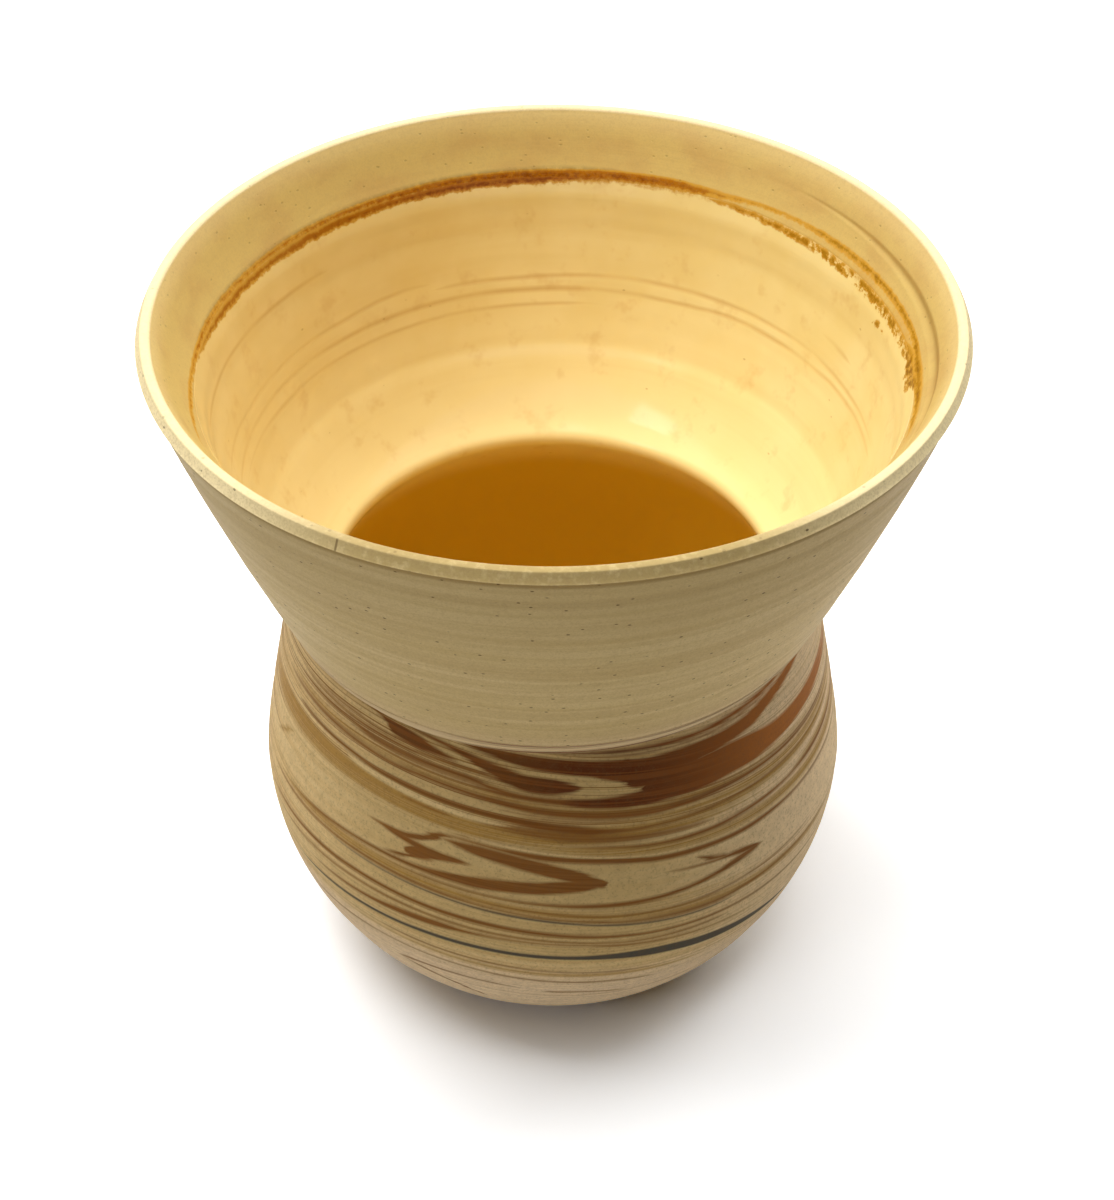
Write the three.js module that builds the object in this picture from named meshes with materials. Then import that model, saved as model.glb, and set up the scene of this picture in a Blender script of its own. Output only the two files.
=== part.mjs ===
// A wheel-thrown mate cup: a marbled clay bulb, a flared collar of plain clay luted to its neck with slip,
// and a coat of glaze that lines the inside up to a turned line below the lip.
// Millimetres, +Z up, origin at the centre of the foot ring's underside.

import * as THREE from "three";

// Bulb
const BULB_HEIGHT = 54.8; // from the foot to the flat land that carries the collar
const BULB_RADIUS = 36.6; // outside, at the belly
const BELLY_HEIGHT = 27.6; // where the bulb is widest
const BULB_WALL = 3.8; // clay at the belly
const LAND_RADIUS = 31.4; // outside of the neck, at the land
const SHOULDER_LEAN = THREE.MathUtils.degToRad(12); // of the shoulder's top, from upright
const FLOOR_HEIGHT = 5.5; // from the foot's underside to the clay floor inside
const FLOOR_RADIUS = 13; // flat part of the floor inside

// Foot ring
const FOOT_RADIUS = 24.5;
const FOOT_HEIGHT = 1; // from the ground to where the bulb's curve begins
const FOOT_RING_WIDTH = 4;
const FOOT_RECESS = 1; // depth of the hollow turned inside the ring
const FOOT_RISE = THREE.MathUtils.degToRad(42); // of the bulb's underside, where it leaves the foot

// Neck joint
const NECK_WALL = 4.3; // clay between the land's outside and the narrowest bore
const THROAT_DROP = 1.8; // from the land down to the narrowest bore
const THROAT_ROUND = 1.2; // radius of the throat's edge
const THROAT_FLARE = THREE.MathUtils.degToRad(24); // of the bulb's inside under the throat, from upright
const SLIP_THICKNESS = 0.5; // the layer of slip between the two thrown pieces
const SLIP_BEAD = 0.4; // how far the squeezed-out slip stands proud of the land's edge
const KEY_WIDTH = 1.6; // V-shaped tongue under the collar, and its groove in the land
const KEY_DEPTH = 1;

// Collar
const COLLAR_HEIGHT = 37.2; // from the land to the top of the lip, slip included
const COLLAR_FOOT_RADIUS = 32.45; // outside, at the joint
const COLLAR_BOW = 0.43; // how far the side bulges out of a straight cone
const LIP_RADIUS = 45; // outside, at the sharp lower edge of the lip's bevel
const LIP_TOP_WIDTH = 0.65; // the narrow flat on top
const LIP_BEVEL_WIDTH = 0.6; // from the flat out to the bevel's lower edge
const LIP_BEVEL_HEIGHT = 1.1; // from the flat down to the bevel's lower edge
const LIP_ROUND = 0.5; // radius of the lip's inner edge
const LIP_OVERHANG = 0.35; // of the bevel's lower edge, over the side below it
const LIP_UNDERCUT = 0.7; // height of the hollow that runs in under that edge

// Glaze
const GLAZE_THICKNESS = 0.35;
const GLAZE_LINE_DROP = 7.4; // from the top of the lip down to the edge of the glaze
const GLAZE_LINE_WALL = 3.45; // clay at the glaze line, measured level
const LINE_GROOVE_WIDTH = 1.6; // turned groove just above the glaze line
const LINE_GROOVE_DEPTH = 0.5;

// Curve handles, as shares of the rise or run that a curve covers
const SHOULDER_HANDLES = { belly: 0.115, land: 0.4 };
const UNDERSIDE_HANDLES = { belly: 0.55, foot: 0.32 };
const INNER_SHOULDER_HANDLES = { belly: 0.4, throat: 0.4 };
const INNER_FLOOR_HANDLES = { belly: 0.62, floor: 0.7 };
const BOWL_HANDLES = { throat: 0.19, line: 0.6 };
const BOWL_FOOT_LEAN = THREE.MathUtils.degToRad(42); // of the bowl's foot at the throat, from upright
const BOWL_LEAN = THREE.MathUtils.degToRad(10.7); // of the bowl's top at the glaze line, from upright

// Facets: segments round the axis, and steps along each curve
const SEGMENTS = 48;
const STEPS = {
  underside: 9, shoulder: 7, innerFloor: 7, innerShoulder: 6, throatEdge: 4, neck: 1, bowl: 9, side: 6,
  lipRound: 4,
};
const HEIGHT_SEARCH_ROUNDS = 40;

const MATERIALS = {
  bulb: new THREE.MeshStandardMaterial({ color: 0xb08a5c, roughness: 0.7, metalness: 0 }),
  collar: new THREE.MeshStandardMaterial({ color: 0xd9c39a, roughness: 0.75, metalness: 0 }),
  slip: new THREE.MeshStandardMaterial({ color: 0xcdb58c, roughness: 0.8, metalness: 0 }),
  glaze: new THREE.MeshStandardMaterial({ color: 0xf0d49a, roughness: 0.15, metalness: 0 }),
};

const point = (radius, height) => new THREE.Vector2(radius, height);

const bezier = (start, startHandle, endHandle, end) =>
  new THREE.CubicBezierCurve(start, startHandle, endHandle, end);

// The place along a rising curve where it reaches a height.
function shareAtHeight(curve, height) {
  let low = 0;
  let high = 1;
  for (let step = 0; step < HEIGHT_SEARCH_ROUNDS; step++) {
    const middle = (low + high) / 2;
    if (curve.getPoint(middle).y < height) low = middle;
    else high = middle;
  }
  return (low + high) / 2;
}

// Points along part of a curve, both ends included.
function stretch(curve, from, to, steps) {
  return Array.from({ length: steps + 1 }, (_, i) => curve.getPoint(from + ((to - from) * i) / steps));
}

// Points on a circle between two directions, in radians.
function arc(centre, radius, from, to, steps) {
  return Array.from({ length: steps + 1 }, (_, i) => {
    const angle = from + ((to - from) * i) / steps;
    return point(centre.x + radius * Math.cos(angle), centre.y + radius * Math.sin(angle));
  });
}

// An open outline moved sideways, to the left of its direction.
function offsetOutline(outline, distance) {
  return outline.map((here, i) => {
    const before = outline[Math.max(i - 1, 0)];
    const after = outline[Math.min(i + 1, outline.length - 1)];
    const along = after.clone().sub(before).normalize();
    return point(here.x - along.y * distance, here.y + along.x * distance);
  });
}

// Heights and radii that several pieces share
const jointTop = BULB_HEIGHT + SLIP_THICKNESS;
const rimHeight = BULB_HEIGHT + COLLAR_HEIGHT;
const lipEdge = point(LIP_RADIUS, rimHeight - LIP_BEVEL_HEIGHT);
const sideTop = point(lipEdge.x - LIP_OVERHANG, lipEdge.y - LIP_UNDERCUT);
const glazeLineHeight = rimHeight - GLAZE_LINE_DROP;
const throatCentre = point(LAND_RADIUS - NECK_WALL + THROAT_ROUND, BULB_HEIGHT - THROAT_DROP);
const belly = point(BULB_RADIUS, BELLY_HEIGHT);
const innerBelly = point(BULB_RADIUS - BULB_WALL, BELLY_HEIGHT);

// Outside of the collar at a height: a cone from the joint to the lip, bowed outwards.
function collarRadius(height) {
  const share = (height - jointTop) / (sideTop.y - jointTop);
  return COLLAR_FOOT_RADIUS + (sideTop.x - COLLAR_FOOT_RADIUS) * share + COLLAR_BOW * 4 * share * (1 - share);
}

// The rounded edge of the throat, from the bulb's inside up to the bowl's foot.
const throatEdge = arc(
  throatCentre, THROAT_ROUND, Math.PI + THROAT_FLARE, Math.PI - BOWL_FOOT_LEAN, STEPS.throatEdge,
);
const throatFoot = throatEdge[0];
const bowlFoot = throatEdge[throatEdge.length - 1];

// Inside of the cup, from the throat up to the glaze line: one bowl-shaped curve across the joint.
const glazeLine = point(collarRadius(glazeLineHeight) - GLAZE_LINE_WALL, glazeLineHeight);
const bowlRise = glazeLine.y - bowlFoot.y;
const bowl = bezier(
  bowlFoot,
  point(
    bowlFoot.x + bowlRise * BOWL_HANDLES.throat * Math.sin(BOWL_FOOT_LEAN),
    bowlFoot.y + bowlRise * BOWL_HANDLES.throat * Math.cos(BOWL_FOOT_LEAN),
  ),
  point(
    glazeLine.x - bowlRise * BOWL_HANDLES.line * Math.sin(BOWL_LEAN),
    glazeLine.y - bowlRise * BOWL_HANDLES.line * Math.cos(BOWL_LEAN),
  ),
  glazeLine,
);
const bowlAtLand = shareAtHeight(bowl, BULB_HEIGHT);
const bowlAtJointTop = shareAtHeight(bowl, jointTop);

// The land's V-groove from outside to inside, at the height of the layer that it is drawn for.
function keyOutline(height) {
  const middle = (LAND_RADIUS + bowl.getPoint(bowlAtJointTop).x) / 2;
  return [
    point(middle + KEY_WIDTH / 2, height),
    point(middle, height - KEY_DEPTH),
    point(middle - KEY_WIDTH / 2, height),
  ];
}

// Inside of the bulb, from the axis out along the floor and up to the land.
function bulbInside() {
  const floorEdge = point(FLOOR_RADIUS, FLOOR_HEIGHT);
  const bellyRise = innerBelly.y - floorEdge.y;
  const shoulderRise = throatFoot.y - innerBelly.y;
  const floorCurve = bezier(
    floorEdge,
    point(floorEdge.x + (innerBelly.x - floorEdge.x) * INNER_FLOOR_HANDLES.floor, floorEdge.y),
    point(innerBelly.x, innerBelly.y - bellyRise * INNER_FLOOR_HANDLES.belly),
    innerBelly,
  );
  const shoulderCurve = bezier(
    innerBelly,
    point(innerBelly.x, innerBelly.y + shoulderRise * INNER_SHOULDER_HANDLES.belly),
    point(
      throatFoot.x + shoulderRise * INNER_SHOULDER_HANDLES.throat * Math.sin(THROAT_FLARE),
      throatFoot.y - shoulderRise * INNER_SHOULDER_HANDLES.throat * Math.cos(THROAT_FLARE),
    ),
    throatFoot,
  );
  return [
    point(0, FLOOR_HEIGHT),
    ...stretch(floorCurve, 0, 1, STEPS.innerFloor),
    ...stretch(shoulderCurve, 0, 1, STEPS.innerShoulder).slice(1),
    ...throatEdge.slice(1),
    ...stretch(bowl, 0, bowlAtLand, STEPS.neck).slice(1),
  ];
}

// Inside of the collar, from the joint up to the glaze line.
const collarInside = () => stretch(bowl, bowlAtJointTop, 1, STEPS.bowl);

// Outside of the bulb, from the axis under the foot up to the land's edge.
function bulbOutside() {
  const footEdge = point(FOOT_RADIUS, FOOT_HEIGHT);
  const land = point(LAND_RADIUS, BULB_HEIGHT);
  const underRise = belly.y - footEdge.y;
  const underRun = belly.x - footEdge.x;
  const shoulderRise = land.y - belly.y;
  const underside = bezier(
    footEdge,
    point(
      footEdge.x + underRun * UNDERSIDE_HANDLES.foot * Math.cos(FOOT_RISE),
      footEdge.y + underRun * UNDERSIDE_HANDLES.foot * Math.sin(FOOT_RISE),
    ),
    point(belly.x, belly.y - underRise * UNDERSIDE_HANDLES.belly),
    belly,
  );
  const shoulder = bezier(
    belly,
    point(belly.x, belly.y + shoulderRise * SHOULDER_HANDLES.belly),
    point(
      land.x + shoulderRise * SHOULDER_HANDLES.land * Math.sin(SHOULDER_LEAN),
      land.y - shoulderRise * SHOULDER_HANDLES.land * Math.cos(SHOULDER_LEAN),
    ),
    land,
  );
  const hollowRadius = FOOT_RADIUS - FOOT_RING_WIDTH;
  return [
    point(0, FOOT_RECESS),
    point(hollowRadius - FOOT_RECESS, FOOT_RECESS),
    point(hollowRadius, 0),
    point(FOOT_RADIUS, 0),
    ...stretch(underside, 0, 1, STEPS.underside),
    ...stretch(shoulder, 0, 1, STEPS.shoulder).slice(1),
  ];
}

const bulbProfile = () => [...bulbOutside(), ...keyOutline(BULB_HEIGHT), ...bulbInside().reverse()];

// One loop: the side, the lip's undercut, bevel and top, the bare band, the groove, the bowl, the keyed foot.
function collarProfile() {
  const side = Array.from({ length: STEPS.side + 1 }, (_, i) => {
    const height = jointTop + ((sideTop.y - jointTop) * i) / STEPS.side;
    return point(collarRadius(height), height);
  });
  const flatOutside = lipEdge.x - LIP_BEVEL_WIDTH;
  const roundCentre = point(flatOutside - LIP_TOP_WIDTH, rimHeight - LIP_ROUND);
  const groove = [
    point(glazeLine.x + LINE_GROOVE_DEPTH / 2, glazeLine.y + LINE_GROOVE_WIDTH),
    point(glazeLine.x + LINE_GROOVE_DEPTH, glazeLine.y + LINE_GROOVE_WIDTH / 2),
  ];
  const loop = [
    ...side,
    lipEdge,
    point(flatOutside, rimHeight),
    ...arc(roundCentre, LIP_ROUND, Math.PI / 2, Math.PI, STEPS.lipRound),
    ...groove,
    ...collarInside().reverse(),
    ...keyOutline(jointTop).reverse(),
  ];
  return [...loop, loop[0].clone()];
}

// The slip fills the joint between the land and the collar's foot, and its bead shows all round the neck.
function slipProfile() {
  const bead = point(LAND_RADIUS + SLIP_BEAD, BULB_HEIGHT + SLIP_THICKNESS / 2);
  const loop = [
    bowl.getPoint(bowlAtLand),
    ...keyOutline(BULB_HEIGHT).reverse(),
    point(LAND_RADIUS, BULB_HEIGHT),
    bead,
    point(LAND_RADIUS, jointTop),
    ...keyOutline(jointTop),
    bowl.getPoint(bowlAtJointTop),
  ];
  return [...loop, loop[0].clone()];
}

// The glaze lies on the inside of the bulb, the slip and the collar, and ends in a feather edge at the line.
function glazeProfile() {
  const wall = [...bulbInside(), ...collarInside()];
  const surface = offsetOutline(wall, GLAZE_THICKNESS);
  surface[0].x = 0;
  return [...wall, ...surface.slice(0, -1).reverse()];
}

function turnedPiece(name, profile, material) {
  const piece = new THREE.Mesh(new THREE.LatheGeometry(profile, SEGMENTS), material);
  piece.name = name;
  return piece;
}

// The pieces turn about the wheel's upright axis, so the lathe's Y becomes the cup's Z.
const wheel = new THREE.Group();
wheel.rotation.x = Math.PI / 2;
wheel.add(
  turnedPiece("marbled_bulb", bulbProfile(), MATERIALS.bulb),
  turnedPiece("neck_slip", slipProfile(), MATERIALS.slip),
  turnedPiece("flared_collar", collarProfile(), MATERIALS.collar),
  turnedPiece("glaze_lining", glazeProfile(), MATERIALS.glaze),
);

const cup = new THREE.Group();
cup.add(wheel);

export default cup;
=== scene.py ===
import math
import random

import bpy
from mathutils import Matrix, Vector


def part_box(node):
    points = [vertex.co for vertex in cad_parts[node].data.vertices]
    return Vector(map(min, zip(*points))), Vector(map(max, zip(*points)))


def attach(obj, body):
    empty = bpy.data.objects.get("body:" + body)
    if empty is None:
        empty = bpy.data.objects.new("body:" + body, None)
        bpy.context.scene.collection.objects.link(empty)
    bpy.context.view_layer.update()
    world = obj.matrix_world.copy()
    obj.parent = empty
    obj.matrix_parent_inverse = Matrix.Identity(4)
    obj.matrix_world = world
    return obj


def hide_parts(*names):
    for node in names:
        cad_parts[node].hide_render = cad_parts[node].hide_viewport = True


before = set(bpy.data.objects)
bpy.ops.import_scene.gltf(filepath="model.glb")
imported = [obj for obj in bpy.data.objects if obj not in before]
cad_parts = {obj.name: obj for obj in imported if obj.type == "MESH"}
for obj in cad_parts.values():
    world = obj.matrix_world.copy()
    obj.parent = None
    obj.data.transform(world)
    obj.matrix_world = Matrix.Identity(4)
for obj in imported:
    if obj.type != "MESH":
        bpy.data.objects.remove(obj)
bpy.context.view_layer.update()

MM = 0.001


def reach(node):
    """Largest radius, lowest height and highest height of a piece of the frame, in millimetres."""
    low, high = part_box(node)
    return high.x / MM, low.z / MM, high.z / MM


# Sizes that the frame gives, in millimetres
BELLY_RADIUS, _, LAND = reach("marbled_bulb")
LIP_RADIUS, TONGUE_TIP, RIM = reach("flared_collar")
_, GROOVE_TIP, JOINT_TOP = reach("neck_slip")
LINE_RADIUS, FLOOR, LINE = reach("glaze_lining")

# The bulb
BELLY_HEIGHT = 27.6
BULB_WALL = 3.8
LAND_RADIUS = 31.4
SHOULDER_LEAN = math.radians(12)
FLOOR_RADIUS = 13
FOOT_RADIUS = 24.5
FOOT_HEIGHT = 1
FOOT_RING_WIDTH = 4
FOOT_RECESS = 1
FOOT_ROUND = 0.4
FOOT_RISE = math.radians(42)

# The neck
THROAT_RADIUS = 27.1
THROAT_HEIGHT = LAND - 1.8
THROAT_ROUND = 1.2
THROAT_FLARE = 24
KEY_WIDTH = 1.6
SMEAR_LOW = LAND - 0.35
SMEAR_HIGH = JOINT_TOP + 1.9
SMEAR = 0.1

# The collar
COLLAR_FOOT_RADIUS = 32.45
COLLAR_BOW = 0.43
WAIST_DRAW = 0.45
WAIST_HEIGHT = 3.2
LIP_TOP_WIDTH = 0.65
LIP_BEVEL_WIDTH = 0.6
LIP_BEVEL_HEIGHT = 1.1
LIP_ROUND = 0.5
LIP_OVERHANG = 0.35
LIP_UNDERCUT = 0.7
LIP_EDGE = RIM - LIP_BEVEL_HEIGHT
SIDE_TOP = LIP_EDGE - LIP_UNDERCUT

# The glaze
GLAZE_THICKNESS = 0.35
BOWL_FOOT_LEAN = 42
BOWL_LEAN = math.radians(10.7)
FEATHER = 2.5
EDGE_ROLL = 0.3
EDGE_ROLL_WIDTH = 1.8

# The groove in the collar's band: how far it reaches in half widths, the half width at which it is deepest
GROOVE_SPREAD = 1.6
GROOVE_FULL = 0.6
GROOVE_DEPTH = 0.35

# The wheel
SPIN_STEPS = 240
TURNING_SEED = 11
WOBBLE = 0.35
WOBBLE_SIZES = (("X", 0.052), ("Y", 0.061))


# Outlines: lists of (radius, height) in millimetres, drawn on one side of the axis


def bend(start, start_handle, end_handle, end, steps):
    """Points of a cubic curve, both ends included."""
    points = []
    for i in range(steps + 1):
        t = i / steps
        weights = ((1 - t) ** 3, 3 * t * (1 - t) ** 2, 3 * t * t * (1 - t), t ** 3)
        corners = (start, start_handle, end_handle, end)
        points.append(tuple(sum(w * c[k] for w, c in zip(weights, corners)) for k in range(2)))
    return points


def round_edge(centre, across, up, start, end, steps):
    """Points of an ellipse between two angles in degrees."""
    angles = [math.radians(start + (end - start) * i / steps) for i in range(steps + 1)]
    return [(centre[0] + across * math.cos(a), centre[1] + up * math.sin(a)) for a in angles]


def beside(outline, distance):
    """An open outline moved to the left of its direction."""
    moved = []
    for i, (radius, height) in enumerate(outline):
        before = outline[max(i - 1, 0)]
        after = outline[min(i + 1, len(outline) - 1)]
        run, rise = after[0] - before[0], after[1] - before[1]
        length = math.hypot(run, rise)
        moved.append((radius - rise / length * distance, height + run / length * distance))
    return moved


def turning_marks(count, low, high, depth, width, seed):
    """Shallow rings that the potter's tool leaves: returns the depth of the surface at a height."""
    draw = random.Random(seed)
    marks = [(draw.uniform(low, high), draw.uniform(0.3, 1) * depth, draw.uniform(0.5, 1.5) * width)
             for _ in range(count)]
    return lambda height: sum(d * math.exp(-((height - h) / w) ** 2) for h, d, w in marks)


def throat_edge(steps):
    """The rounded edge between the bulb's inside and the bowl."""
    return round_edge((THROAT_RADIUS + THROAT_ROUND, THROAT_HEIGHT), THROAT_ROUND, THROAT_ROUND,
                      180 + THROAT_FLARE, 180 - BOWL_FOOT_LEAN, steps)


def bowl_curve(steps):
    """Inside of the walls from the throat's edge up to the glaze line, across the joint."""
    foot = throat_edge(1)[-1]
    lean = math.radians(BOWL_FOOT_LEAN)
    rise = LINE - foot[1]
    throat_handle, line_handle = 0.19, 0.6
    low_handle = (foot[0] + rise * throat_handle * math.sin(lean),
                  foot[1] + rise * throat_handle * math.cos(lean))
    high_handle = (LINE_RADIUS - rise * line_handle * math.sin(BOWL_LEAN),
                   LINE - rise * line_handle * math.cos(BOWL_LEAN))
    return bend(foot, low_handle, high_handle, (LINE_RADIUS, LINE), steps)


def bowl_radius(height):
    return next(p[0] for p in bowl_curve(400) if p[1] >= height)


def bulb_inside(steps):
    """Inside of the bulb's wall from the floor's flat part up to the top of the throat's edge."""
    inner = BELLY_RADIUS - BULB_WALL
    throat = throat_edge(12)
    flare = math.radians(THROAT_FLARE)
    rise, climb = BELLY_HEIGHT - FLOOR, throat[0][1] - BELLY_HEIGHT
    floor_share, belly_share, shoulder_share = 0.7, 0.62, 0.4
    low = bend((FLOOR_RADIUS, FLOOR), (FLOOR_RADIUS + (inner - FLOOR_RADIUS) * floor_share, FLOOR),
               (inner, BELLY_HEIGHT - rise * belly_share), (inner, BELLY_HEIGHT), steps)
    high = bend((inner, BELLY_HEIGHT), (inner, BELLY_HEIGHT + climb * shoulder_share),
                (throat[0][0] + climb * shoulder_share * math.sin(flare),
                 throat[0][1] - climb * shoulder_share * math.cos(flare)), throat[0], steps)
    return low + high[1:] + throat[1:]


def key(height, tip):
    """The V of the neck joint, from outside to inside."""
    middle = (LAND_RADIUS + bowl_radius(JOINT_TOP)) / 2
    return [(middle + KEY_WIDTH / 2, height), (middle, tip), (middle - KEY_WIDTH / 2, height)]


def bulb_outline():
    under_rise, under_run = BELLY_HEIGHT - FOOT_HEIGHT, BELLY_RADIUS - FOOT_RADIUS
    shoulder_rise = LAND - BELLY_HEIGHT
    foot_share, under_share, belly_share, land_share = 0.32, 0.55, 0.115, 0.4
    hollow = FOOT_RADIUS - FOOT_RING_WIDTH
    foot = [(0, FOOT_RECESS), (hollow - 2 * FOOT_RECESS, FOOT_RECESS),
            (hollow - FOOT_RECESS, FOOT_RECESS * 0.8)]
    foot += round_edge((hollow + FOOT_ROUND, FOOT_ROUND), FOOT_ROUND, FOOT_ROUND, 200, 270, 5)
    foot += round_edge((FOOT_RADIUS - FOOT_ROUND, FOOT_ROUND), FOOT_ROUND, FOOT_ROUND, 270, 360, 6)
    under = bend((FOOT_RADIUS, FOOT_HEIGHT),
                 (FOOT_RADIUS + under_run * foot_share * math.cos(FOOT_RISE),
                  FOOT_HEIGHT + under_run * foot_share * math.sin(FOOT_RISE)),
                 (BELLY_RADIUS, BELLY_HEIGHT - under_rise * under_share), (BELLY_RADIUS, BELLY_HEIGHT), 48)
    shoulder = bend((BELLY_RADIUS, BELLY_HEIGHT), (BELLY_RADIUS, BELLY_HEIGHT + shoulder_rise * belly_share),
                    (LAND_RADIUS + shoulder_rise * land_share * math.sin(SHOULDER_LEAN),
                     LAND - shoulder_rise * land_share * math.cos(SHOULDER_LEAN)), (LAND_RADIUS, LAND), 48)
    inside = [(0, FLOOR)] + bulb_inside(10) + [(bowl_radius(LAND), LAND)]
    marks = turning_marks(26, FOOT_HEIGHT + 3, LAND - 1, 0.035, 0.9, TURNING_SEED)
    side = [(r - marks(h), h) for r, h in under[1:] + shoulder[1:-1]]
    return foot + under[:1] + side + shoulder[-1:] + key(LAND, GROOVE_TIP) + inside[::-1]


def collar_side(height):
    """Outside of the collar: a bowed cone that draws in to the waist at its foot."""
    share = (height - JOINT_TOP) / (SIDE_TOP - JOINT_TOP)
    run = LIP_RADIUS - LIP_OVERHANG - COLLAR_FOOT_RADIUS
    near = max(0, 1 - (height - JOINT_TOP) / WAIST_HEIGHT)
    return COLLAR_FOOT_RADIUS + run * share + COLLAR_BOW * 4 * share * (1 - share) - WAIST_DRAW * near ** 2


def lip_outline():
    """The hollow under the lip's edge, the edge, the bevel and the narrow top, from outside to inside."""
    arris, crease = 0.06, 0.1
    flat = LIP_RADIUS - LIP_BEVEL_WIDTH
    hollow = bend((collar_side(SIDE_TOP), SIDE_TOP),
                  (LIP_RADIUS - LIP_OVERHANG, SIDE_TOP + LIP_UNDERCUT * 0.6),
                  (LIP_RADIUS - LIP_OVERHANG * 0.7, LIP_EDGE - arris * 2),
                  (LIP_RADIUS - arris, LIP_EDGE - arris), 8)
    edge = round_edge((LIP_RADIUS - arris, LIP_EDGE), arris, arris, -80, 60, 6)
    bevel = bend(edge[-1], (LIP_RADIUS - LIP_BEVEL_WIDTH * 0.4, LIP_EDGE + LIP_BEVEL_HEIGHT * 0.3),
                 (flat + crease, RIM - crease * 2), (flat, RIM - crease * 0.4), 10)
    top = round_edge((flat - LIP_TOP_WIDTH, RIM - LIP_ROUND), LIP_ROUND, LIP_ROUND, 90, 162, 8)
    return hollow[1:] + edge + bevel[1:] + [(flat - crease, RIM)] + top


def collar_outline():
    marks = turning_marks(46, JOINT_TOP + 1, SIDE_TOP - 1, 0.04, 0.45, TURNING_SEED + 1)
    steps = 110
    heights = [JOINT_TOP + (SIDE_TOP - JOINT_TOP) * i / steps for i in range(steps + 1)]
    side = [(collar_side(h) - marks(h), h) for h in heights]
    lip = lip_outline()
    edge, line = lip[-1], (LINE_RADIUS + 0.05, LINE + 0.15)
    band = bend(edge, (edge[0] + (line[0] - edge[0]) * 0.36, edge[1] + (line[1] - edge[1]) * 0.33),
                (edge[0] + (line[0] - edge[0]) * 0.62, edge[1] + (line[1] - edge[1]) * 0.67), line, 48)
    inside = [(bowl_radius(JOINT_TOP), JOINT_TOP)] + [p for p in bowl_curve(40) if p[1] > JOINT_TOP + 0.2]
    foot = [(LAND_RADIUS, JOINT_TOP)]
    outline = side + lip + band[1:] + inside[::-1] + key(JOINT_TOP, TONGUE_TIP)[::-1] + foot
    return outline + outline[:1]


def slip_outline():
    """The layer in the joint, smeared by the turning tool over the crease, where it keeps fine ridges."""
    ridges = turning_marks(14, SMEAR_LOW, SMEAR_HIGH, 0.09, 0.12, TURNING_SEED + 3)
    steps, sunk = 60, 0.2
    smear = []
    for i in range(steps + 1):
        height = SMEAR_LOW + (SMEAR_HIGH - SMEAR_LOW) * i / steps
        shoulder = LAND_RADIUS + (LAND - height) * math.tan(SHOULDER_LEAN)
        across = min(1, max(0, (height - LAND) / (JOINT_TOP - LAND)))
        wall = shoulder + (collar_side(max(height, JOINT_TOP)) - shoulder) * across
        cover = SMEAR * min(1, 10 * i / steps, 4 * (1 - i / steps))
        smear.append((wall + cover - ridges(height), height))
    low_edge = [(LAND_RADIUS - sunk, LAND), (smear[0][0] - sunk, SMEAR_LOW)]
    high_edge = [(smear[-1][0] - sunk, SMEAR_HIGH), (LAND_RADIUS, JOINT_TOP)]
    outline = [(bowl_radius(LAND), LAND)] + key(LAND, GROOVE_TIP)[::-1] + low_edge + smear
    outline += high_edge + key(JOINT_TOP, TONGUE_TIP) + [(bowl_radius(JOINT_TOP), JOINT_TOP)]
    return outline + outline[:1]


def glaze_outline():
    wall = [(0, FLOOR)] + bulb_inside(36) + bowl_curve(120)[1:]
    ripple = turning_marks(16, THROAT_HEIGHT + 8, LINE - 3, 0.05, 1.2, TURNING_SEED + 2)
    surface = beside(wall, 1)
    surface[0] = (0, surface[1][1])
    coat = []
    for (radius, height), (toward, over) in zip(wall, surface):
        feather = min(1, (LINE - height) / FEATHER + 0.06)
        roll = EDGE_ROLL * math.exp(-((height - THROAT_HEIGHT) / EDGE_ROLL_WIDTH) ** 2)
        thick = GLAZE_THICKNESS * feather + roll - (ripple(height) if radius > FLOOR_RADIUS else 0) * feather
        coat.append((radius + (toward - radius) * thick, height + (over - height) * thick))
    return wall + coat[::-1]


# Turning: one point drawn out into an outline, then spun round the axis


def turn(name, outline):
    bpy.ops.object.select_all(action="DESELECT")
    bpy.ops.mesh.primitive_plane_add(size=MM, location=(0, 0, 0))
    piece = bpy.context.object
    piece.name = name
    piece.data.name = name
    bpy.ops.object.mode_set(mode="EDIT")
    bpy.ops.mesh.select_mode(type="VERT")
    bpy.ops.mesh.select_all(action="SELECT")
    bpy.ops.mesh.merge(type="CENTER")
    radius, height = outline[0]
    bpy.ops.transform.translate(value=(radius * MM, 0, height * MM))
    for next_radius, next_height in outline[1:]:
        step = ((next_radius - radius) * MM, 0, (next_height - height) * MM)
        bpy.ops.mesh.extrude_vertices_move(TRANSFORM_OT_translate={"value": step})
        radius, height = next_radius, next_height
    bpy.ops.mesh.select_all(action="SELECT")
    bpy.ops.mesh.spin(steps=SPIN_STEPS, angle=math.tau, center=(0, 0, 0), axis=(0, 0, 1))
    bpy.ops.mesh.select_all(action="SELECT")
    bpy.ops.mesh.remove_doubles(threshold=MM / 1000)
    bpy.ops.mesh.normals_make_consistent(inside=False)
    bpy.ops.object.mode_set(mode="OBJECT")
    bpy.ops.object.shade_smooth_by_angle(angle=math.radians(40))
    return piece


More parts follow.
